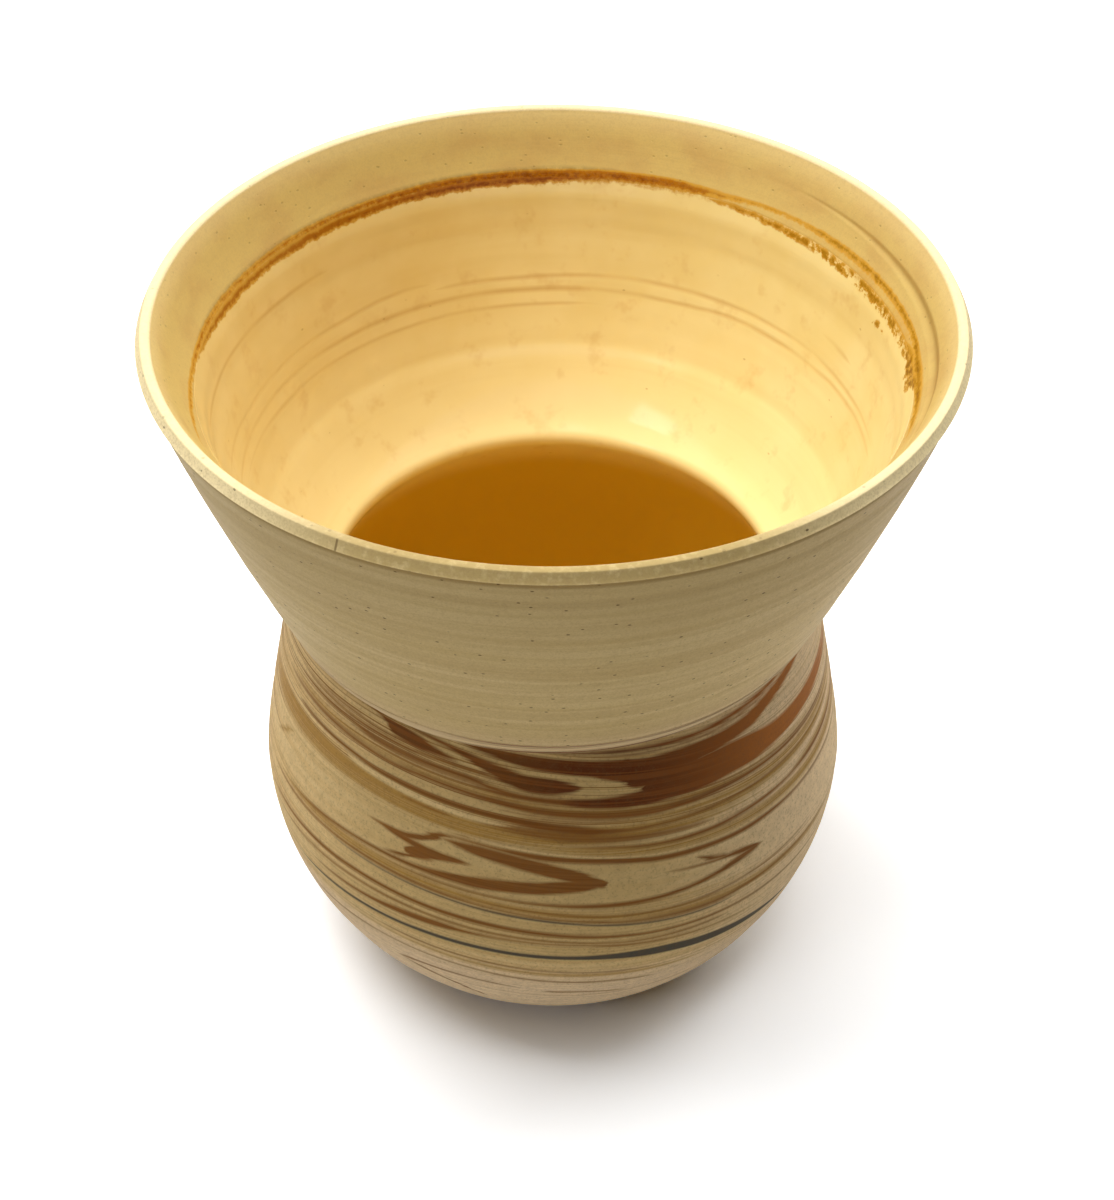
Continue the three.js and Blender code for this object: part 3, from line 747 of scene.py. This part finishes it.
def marbled_clay():
    material, paint, shader, x, y, z, longitude, radius = clay_ground("marbled_clay")
    latitude = paint.math("ARCTAN2", z - BELLY_HEIGHT * MM, radius) * (180 / math.pi)
    drift = (longitude.ramp(-45, 85) + longitude.ramp(-30, -180)) * DRIFT
    layer = latitude + drift + VEIN_RISE
    ring_place = paint.vector(x * 60, y * 60, layer * 0.35)
    fibre_place = paint.vector(x * 25, y * 25, layer * 2.2)
    sway = paint.noise(ring_place, 1, 2)
    fibre = paint.noise(fibre_place, 1, 3, 0.6)
    layer = layer + (sway - 0.5) * 0.3 + (fibre - 0.5) * 0.25
    longitude = longitude + (paint.noise(paint.vector(x * 60, y * 60, layer * 0.9), 1, 1) - 0.5) * 3

    combed = layer + (paint.noise(paint.vector(x * 22, y * 22, layer * 3.2), 1, 2, 0.6) - 0.5) * 0.9

    brown = fibre.ramp(0.3, 0.7).mix(BROWN, BROWN_FIBRE)
    colour = paint.noise(paint.vector(x * 40, y * 40, layer * 0.6), 1, 3).ramp(0.3, 0.75).mix(
        CREAM, CREAM_CLOUD)
    colour = (layer.ramp(-3, -12) * 0.8).mix(colour, CREAM_LOW)
    # Painted light: the cream lighter and paler on the bulb's right side.
    colour = (longitude.ramp(14, 58) * 0.8).mix(colour, CREAM_RIGHT_PAINTED_LIGHT)
    # Painted shade: the bulb's front darker above its lowest layers, away from the lamps.
    colour = (abs(longitude + 10).ramp(46, 18) * layer.ramp(-6, 3) * 0.66).mix(colour, CREAM_FRONT_PAINTED_SHADE)
    fine = paint.noise(paint.vector(x * 14, y * 14, layer * 3.2), 1, 2, 0.6).ramp(0.5, 0.72)
    hair = paint.noise(paint.vector(x * 9, y * 9, layer * 2.6 + 30), 1, 2, 0.6).ramp(0.54, 0.62)
    plain = layer.ramp(12.8, 13.8) * layer.ramp(23.2, 22.2)
    busy = layer.ramp(24, 28) * layer.ramp(46, 38)
    colour = (fine * (0.4 - plain * 0.36 + busy * 0.3)).mix(colour, TAN)
    colour = (hair * (0.2 - plain * 0.18 + busy * 0.55)).mix(colour, brown)
    drawn = paint.noise(paint.vector(x * 12, y * 12, layer * 4.5), 1, 3, 0.65).ramp(0.34, 0.6)
    colour = (clay_cover(longitude, layer, TAN_VEINS, 0.6) * (drawn * 0.5 + 0.5)).mix(colour, TAN)
    colour = (clay_cover(longitude, combed, BROWN_BANDS, 0.5) * 0.75).mix(colour, brown)
    colour = (clay_cover(longitude, layer * 0.4 + combed * 0.6, BROWN_VEINS, 0.4) * 0.96).mix(colour, brown)
    deep = longitude.ramp(-12, 6).mix(DEEP_LEFT, DEEP_MIDDLE)
    deep = longitude.ramp(12, 56).mix(deep, DEEP_RIGHT)
    streaks = paint.noise(paint.vector(x * 20, y * 20, layer * 1.8), 1, 3, 0.6).ramp(0.48, 0.6)
    deep = (streaks * 0.36).mix(deep, DEEP_STREAK)
    colour = clay_cover(longitude, combed, DEEP_VEINS, 0.34).mix(colour, deep)
    colour = clay_cover(longitude, layer, GREY_VEINS, 0.24).mix(colour, GREY)
    colour = (clay_cover(longitude, layer, CREAM_VEINS, 0.25) * 0.9).mix(colour, CREAM)

    away = (abs(longitude) + (fibre - 0.5) * 80).ramp(76, 92).most(latitude.ramp(-34, -45))
    back_place = paint.vector(x * 14, y * 14, layer * 0.24)
    wide = paint.noise(back_place, 1.3, 3, 0.65)
    back = (fine * 0.4).mix(CREAM, TAN)
    back = wide.ramp(0.5, 0.56).mix(back, TAN)
    back = wide.ramp(0.6, 0.62).mix(back, brown)
    thin = abs(paint.noise(back_place, 2.6, 2, 0.6) - 0.5).ramp(0.02, 0.008)
    back = (thin * 0.8).mix(back, brown)
    ash = paint.noise(paint.vector(x * 14, y * 14, layer * 0.2 + 40), 1.2, 2).ramp(0.7, 0.715)
    back = ash.mix(back, GREY)
    colour = away.mix(colour, back)

    grain = paint.noise(paint.vector(x, y, z), 900, 3, 0.6)
    grit = paint.noise(paint.vector(x, y, z), 3200, 2, 0.6)
    colour = (grain.ramp(0.25, 0.75) * 0.18).mix(colour, BULB_GRAIN)
    colour = (grit.ramp(0.5, 0.72) * 0.3).mix(colour, BULB_GRIT)
    relief = fibre * 0.6 + grain * 0.4
    set_shader(shader, paint.tree, {
        "Base Color": colour,
        "Roughness": grain * 0.12 + 0.55,
        "Specular IOR Level": 0.03,
        "Normal": relief.bump(0.12, 0.2 * MM),
    })
    return material


def around_curve(around, points):
    """A value that changes round the bowl, drawn as (longitude, value) points."""
    start, end = points[0][0], points[-1][0]
    low = min(p[1] for p in points)
    span = max(p[1] for p in points) - low
    return ((around - start) * (1 / (end - start))).curve(
        [((p[0] - start) / (end - start), (p[1] - low) / span) for p in points]) * span + low


def stain_at(paint, z, longitude):
    """Angle round the bowl, height over the glaze line in mm, thickness of the brown ring, painted shade on
    its top.
    """
    around = paint.math("FLOORED_MODULO", longitude, 360)
    height = z * (1 / MM) - LINE
    runs = paint.noise(paint.vector(around * 0.4, height * 0.12, 0), 1, 2, 0.55)
    ragged = paint.noise(paint.vector(around * 0.9, height * 1.5, 3), 1, 3, 0.6)
    strength = around_curve(around, STAIN_STRENGTH)
    top, foot = around_curve(around, STAIN_TOP), around_curve(around, STAIN_FOOT)
    fall = height + (runs - 0.5) * 1.1 + (ragged - 0.5) * 0.8
    wash = (top - height).ramp(-0.15, 0.35) * (fall - foot).ramp(-0.5, 0.4) * strength
    right = around.ramp(165, 125)
    frayed = height + (runs - 0.5) * (0.5 - right * 0.4) + (ragged - 0.5) * 0.4
    line = clay_cover(around, frayed, STAIN_LINES, 0.3)
    blots = paint.noise(paint.vector(around * 0.5, height * 0.75, 7), 1, 3, 0.65).ramp(0.42, 0.6)
    line = line * (1 - right * (1 - blots) * ((0.4 - height).ramp(0, 0.6) * 0.5 + 0.4))
    thick = (wash * 0.32 + line * (strength * 0.42 + 0.22 + right * 0.22)) * (ragged * 1.4 + 0.3)
    # Painted shade along the crease at the ring's top.
    crease_shade = clay_cover(around, height + (ragged - 0.5) * 0.3, CREASE_SHADE_LINE, 0.25) * ragged.ramp(0.25, 0.6)
    return around, height, thick.clamped(), crease_shade


def stained(colour, around, thick, crease_shade):
    """The brown ring over a colour, alike on the glaze and on the clay above it; olive at the right; painted
    shade on its top.
    """
    olive = around.ramp(165, 120)
    colour = thick.ramp(0.05, 0.3).mix(colour, RING_GOLD)
    colour = thick.ramp(0.3, 0.62).mix(colour, olive.mix(RING_BROWN, RING_OLIVE))
    colour = thick.ramp(0.64, 0.96).mix(colour, olive.mix(RING_DARK, RING_DARK_OLIVE))
    return (crease_shade * 0.55).mix(colour, CREASE_PAINTED_SHADE)


def specks(paint, x, y, z, scale, keep, size):
    """Small dark pits, dragged out a little by the turning."""
    place = paint.vector(x, y, z * 1.7)
    cell = {"feature": "F1", "voronoi_dimensions": "3D"}
    distance = paint.node("ShaderNodeTexVoronoi", cell, {"Vector": place, "Scale": scale})
    chance = paint.node("ShaderNodeTexVoronoi", cell, {"Vector": place, "Scale": scale}, output=1)
    pick = paint.node("ShaderNodeSeparateColor", {}, {0: chance})
    return distance.ramp(size, size * 0.5) * pick.ramp(keep, keep + 0.05)


def plain_clay():
    material, paint, shader, x, y, z, longitude, radius = clay_ground("plain_clay")
    lines = paint.noise(paint.vector(x * 18, y * 18, z * 1100), 1, 3, 0.6)
    broad = paint.noise(paint.vector(x * 25, y * 25, z * 220), 1, 2)
    grain = paint.noise(paint.vector(x, y, z), 1400, 2, 0.6)
    pits = specks(paint, x, y, z, 620, 0.45, 0.15)
    colour = broad.ramp(0.3, 0.7).mix(CLAY, CLAY_BROAD)
    # Painted light: the collar's clay lighter on its right side.
    colour = (longitude.ramp(8, 55) * longitude.ramp(150, 90)).mix(colour, CLAY_RIGHT_PAINTED_LIGHT)
    colour = (lines.ramp(0.35, 0.65) * 0.38).mix(colour, CLAY_LINES)
    # Painted shade: the outside darker towards the lip, under its overhang.
    high = z.ramp((JOINT_TOP + 12) * MM, SIDE_TOP * MM)
    colour = (high * 0.4).mix(colour, CLAY_UNDER_LIP_PAINTED_SHADE)
    # Painted light: the outside lighter towards its foot; the pinker tone there is the clay's own.
    foot = z.ramp((JOINT_TOP + 7) * MM, JOINT_TOP * MM)
    colour = (foot * 0.45).mix(colour, CLAY_FOOT_PAINTED_LIGHT)
    flare = (LIP_RADIUS - LIP_OVERHANG - COLLAR_FOOT_RADIUS) / (SIDE_TOP - JOINT_TOP)
    outside = z * flare + (COLLAR_FOOT_RADIUS - JOINT_TOP * flare) * MM
    inside = (outside - radius).ramp(0.7 * MM, MM)
    patches = paint.noise(paint.vector(x, y, z * 2), 150, 3, 0.55).ramp(0.4, 0.7)
    colour = inside.mix(colour, (patches * 0.6).mix(BAND, BAND_PATCH))
    around, height, thick, crease_shade = stain_at(paint, z, longitude)
    colour = stained(colour, around, thick * inside, crease_shade * inside)
    # Painted shade: the lip darker at the front, away from the lamps, with chalky patches in it.
    front = abs(longitude).ramp(50, 20)
    lip = (z.ramp((LIP_EDGE - 0.1) * MM, (LIP_EDGE + 0.1) * MM) * (1 - inside)).most(
        z.ramp((RIM - 0.45) * MM, (RIM - 0.1) * MM))
    # Painted light: the inside band lighter towards the rim.
    colour = (inside * z.ramp((RIM - 3) * MM, RIM * MM) * 0.6).mix(colour, BAND_RIM_PAINTED_LIGHT)
    chalk = paint.noise(paint.vector(x, y, z), 1300, 3, 0.6).ramp(0.45, 0.75)
    rim_clay = front.mix(LIP, (chalk * 0.35).mix(LIP_FRONT_PAINTED_SHADE, LIP_CHALK))
    colour = lip.mix(colour, rim_clay)
    # Painted shade: a thin darker band in the hollow just under the lip's edge.
    under = z.ramp((LIP_EDGE - 1.1) * MM, (LIP_EDGE - 0.3) * MM)
    under = under * z.ramp(LIP_EDGE * MM, (LIP_EDGE - 0.12) * MM)
    colour = (under * (1 - inside) * 0.6).mix(colour, LIP_UNDERCUT_PAINTED_SHADE)
    nick = abs(longitude + 27).ramp(0.22, 0.08) * lip * (1 - inside)
    colour = (nick * 0.7).mix(colour, NICK)
    # Painted shade along the pressed groove, in a warm brown.
    groove = clay_cover(around, height, GROOVE_LINE, 0.5) * inside * (around.ramp(125, 78) * 0.6 + 0.4)
    colour = (groove * 0.4).mix(colour, GROOVE_PAINTED_SHADE)
    colour = (grain.ramp(0.4, 0.8) * (0.2 - inside * 0.1)).mix(colour, CLAY_GRAIN)
    grit = paint.noise(paint.vector(x, y, z), 4200, 2, 0.6)
    colour = (grit.ramp(0.42, 0.7) * (0.28 - inside * 0.16)).mix(colour, CLAY_GRIT)
    colour = (pits * (0.8 - inside * 0.55)).mix(colour, PITS)
    relief = lines * 0.6 + grain * 0.25 - pits * 0.8
    set_shader(shader, paint.tree, {
        "Base Color": colour,
        "Roughness": grain * 0.15 + 0.5,
        "Specular IOR Level": 0.04,
        "Normal": relief.bump(0.25, 0.25 * MM),
    })
    return material


def slip_finish():
    material, paint, shader, x, y, z, longitude, radius = clay_ground("slip")
    lines = paint.noise(paint.vector(x * 20, y * 20, z * 2200), 1, 3, 0.6)
    dragged = longitude.ramp(-25, -8) * longitude.ramp(72, 50)
    colour = (lines.ramp(0.42, 0.66) * (dragged * 0.85 + 0.15)).mix(SLIP, SLIP_DRAGGED)
    set_shader(shader, paint.tree, {
        "Base Color": colour,
        "Roughness": 0.7,
        "Normal": lines.bump(0.3, 0.2 * MM),
    })
    return material


def honey_glaze():
    material, paint, shader, x, y, z, longitude, radius = clay_ground("glaze")
    cloud = paint.noise(paint.vector(x, y, z), 90, 3, 0.55)
    grain = paint.noise(paint.vector(x, y, z), 900, 2, 0.6)
    streak = paint.noise(paint.vector(x * 22, y * 22, z * 420), 1, 3, 0.6)
    bearing = paint.math("FLOORED_MODULO", longitude, 360)
    # Painted light: the glaze lighter and yellower on the bowl's right side.
    painted_light_side = bearing.ramp(240, 110) * bearing.ramp(0, 60)
    colour = cloud.ramp(0.3, 0.7).mix(GLAZE, GLAZE_CLOUD)
    colour = painted_light_side.mix(colour, cloud.ramp(0.3, 0.7).mix(GLAZE_PAINTED_LIGHT, GLAZE_PAINTED_LIGHT_CLOUD))
    # Painted light: the lower bowl lighter and yellower, where it faces up to the lamps.
    colour = (z.ramp((LINE - 12) * MM, (THROAT_HEIGHT + 4) * MM) * 0.55).mix(colour, GLAZE_LOW_PAINTED_LIGHT)
    blotch = paint.noise(paint.vector(x, y, z), 230, 3, 0.65).ramp(0.55, 0.75)
    colour = (blotch * 0.35).mix(colour, GLAZE_BLOTCH)
    dots = specks(paint, x, y, z, 330, 0.8, 0.09)
    colour = (dots * 0.4).mix(colour, GLAZE_DOTS)
    colour = (streak.ramp(0.45, 0.75) * 0.14).mix(colour, GLAZE_STREAK)
    # Painted shade: the glaze darker and deeper in colour inside the bulb, below the throat.
    deep = z.ramp((THROAT_HEIGHT + 0.8) * MM, (THROAT_HEIGHT - 6) * MM)
    colour = deep.mix(colour, GLAZE_BULB_PAINTED_SHADE)
    around, height, thick, crease_shade = stain_at(paint, z, longitude)
    colour = stained(colour, around, thick, crease_shade)
    thrown = clay_cover(around, height + (cloud - 0.5) * 0.4, THROWING_LINES, 0.28)
    colour = (thrown * cloud.ramp(0.2, 0.6) * 0.55).mix(colour, THROWN)
    relief = cloud * 0.5 + grain * 0.2 + streak * 0.3 - thrown * 0.6
    set_shader(shader, paint.tree, {
        "Base Color": colour,
        "Roughness": 0.35,
        "Specular IOR Level": 0.05,
        "Coat Weight": (0.85 - thick * 0.7) * (1 - deep * 0.9),
        "Coat Roughness": 0.12,
        "Normal": relief.bump(0.1, 0.3 * MM),
    })
    return material


# Pieces

bulb = turn("bulb", bulb_outline())
collar = turn("collar", collar_outline())
slip = turn("slip_ring", slip_outline())
glaze = turn("glaze_coat", glaze_outline())

press_groove(collar)

for piece, node, slot, finish in (
    (bulb, "marbled_bulb", "marbled_clay", marbled_clay()),
    (collar, "flared_collar", "plain_clay", plain_clay()),
    (slip, "neck_slip", "slip", slip_finish()),
    (glaze, "glaze_lining", "glaze", honey_glaze()),
):
    hand_wobble(piece)
    piece.data.materials.clear()
    piece.data.materials.append(finish)
    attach(piece, "root")
    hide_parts(node)


# Stage


FLOOR_SIZE = 6
FLOOR_LIT = rgb(215, 214, 209)
FLOOR_SHOWN = (1.38, 1.4, 1.43, 1)
SHADOW_REACH, WHITE_FROM = 0.16, 0.45
LAMPS_AIM = (0, 0, 0.05)


def background_shown(paint):
    """1 for what the camera sees, straight or in a mirror or through glass, and 0 for the light itself."""
    camera_ray, glossy_ray, transmission_ray = (
        paint.node("ShaderNodeLightPath", {}, {}, output=name)
        for name in ("Is Camera Ray", "Is Glossy Ray", "Is Transmission Ray"))
    return camera_ray.most(glossy_ray).most(transmission_ray)


def floor():
    bpy.ops.object.select_all(action="DESELECT")
    bpy.ops.mesh.primitive_plane_add(size=FLOOR_SIZE, location=(0, 0, 0))
    ground = bpy.context.object
    ground.name = "floor"
    material = bpy.data.materials.new("floor")
    material.use_nodes = True
    tree = material.node_tree
    paint = Tone(tree)
    shown = background_shown(paint)
    paper = tree.nodes["Principled BSDF"]
    set_shader(paper, tree, {
        "Base Color": shown.mix(FLOOR_LIT, FLOOR_SHOWN),
        "Roughness": 0.9,
        "Specular IOR Level": 0,
    })
    # Away from the cup and its shadow the floor is plain white to the eye.
    place = paint.node("ShaderNodeTexCoord", {}, {}, output="Object")
    distance = paint.node("ShaderNodeVectorMath", {"operation": "LENGTH"}, {0: place}, output="Value")
    far = distance.ramp(SHADOW_REACH, WHITE_FROM)
    white = tree.nodes.new("ShaderNodeEmission")
    blend = tree.nodes.new("ShaderNodeMixShader")
    tree.links.new((far * shown).socket, blend.inputs[0])
    tree.links.new(paper.outputs[0], blend.inputs[1])
    tree.links.new(white.outputs[0], blend.inputs[2])
    tree.links.new(blend.outputs[0], tree.nodes["Material Output"].inputs["Surface"])
    ground.data.materials.append(material)


def softbox(name, place, size, power):
    """A square lamp, its size in metres and its power in watts, turned to the cup."""
    lamp = bpy.data.lights.new(name, "AREA")
    lamp.shape = "SQUARE"
    lamp.size = size
    lamp.energy = power
    holder = bpy.data.objects.new(name, lamp)
    bpy.context.scene.collection.objects.link(holder)
    holder.location = place
    direction = Vector(LAMPS_AIM) - Vector(place)
    holder.rotation_euler = direction.to_track_quat("-Z", "Y").to_euler()


def surroundings():
    """White to the eye, and no light."""
    world = bpy.data.worlds.new("surroundings")
    world.use_nodes = True
    tree = world.node_tree
    paint = Tone(tree)
    background = tree.nodes["Background"]
    background.inputs["Color"].default_value = (1, 1, 1, 1)
    tree.links.new(background_shown(paint).socket, background.inputs["Strength"])
    bpy.context.scene.world = world


def camera():
    # The picture is 1114 by 1200 pixels, and the cup's axis stands 3.7 of them left of its middle.
    picture_height, axis_left = 1200, 3.7
    eye = (0, -182.4 * MM, 212.5 * MM)
    tilt = math.radians(41.92)
    lens = bpy.data.cameras.new("camera")
    lens.sensor_width = 36
    lens.lens = 60
    lens.shift_x = axis_left / picture_height
    lens.clip_start = 0.01
    holder = bpy.data.objects.new("camera", lens)
    bpy.context.scene.collection.objects.link(holder)
    holder.location = eye
    holder.rotation_euler = (math.pi / 2 - tilt, 0, 0)
    bpy.context.scene.camera = holder


floor()
softbox("top_left_softbox", (-0.3, 0.13, 0.8), 0.6, 5.2)
softbox("top_right_softbox", (0.1, 0.13, 0.85), 0.6, 2.5)
softbox("top_front_softbox", (-0.1, -0.1, 0.85), 0.6, 2.3)
softbox("back_softbox", (0, 0.8, 0.45), 0.5, 1.3)
softbox("back_right_softbox", (0.55, 0.5, 0.5), 0.5, 3)
softbox("highlight_softbox", (-0.46, -0.4, 0.45), 0.22, 0.55)
surroundings()
camera()
bpy.context.scene.view_settings.view_transform = "Standard"
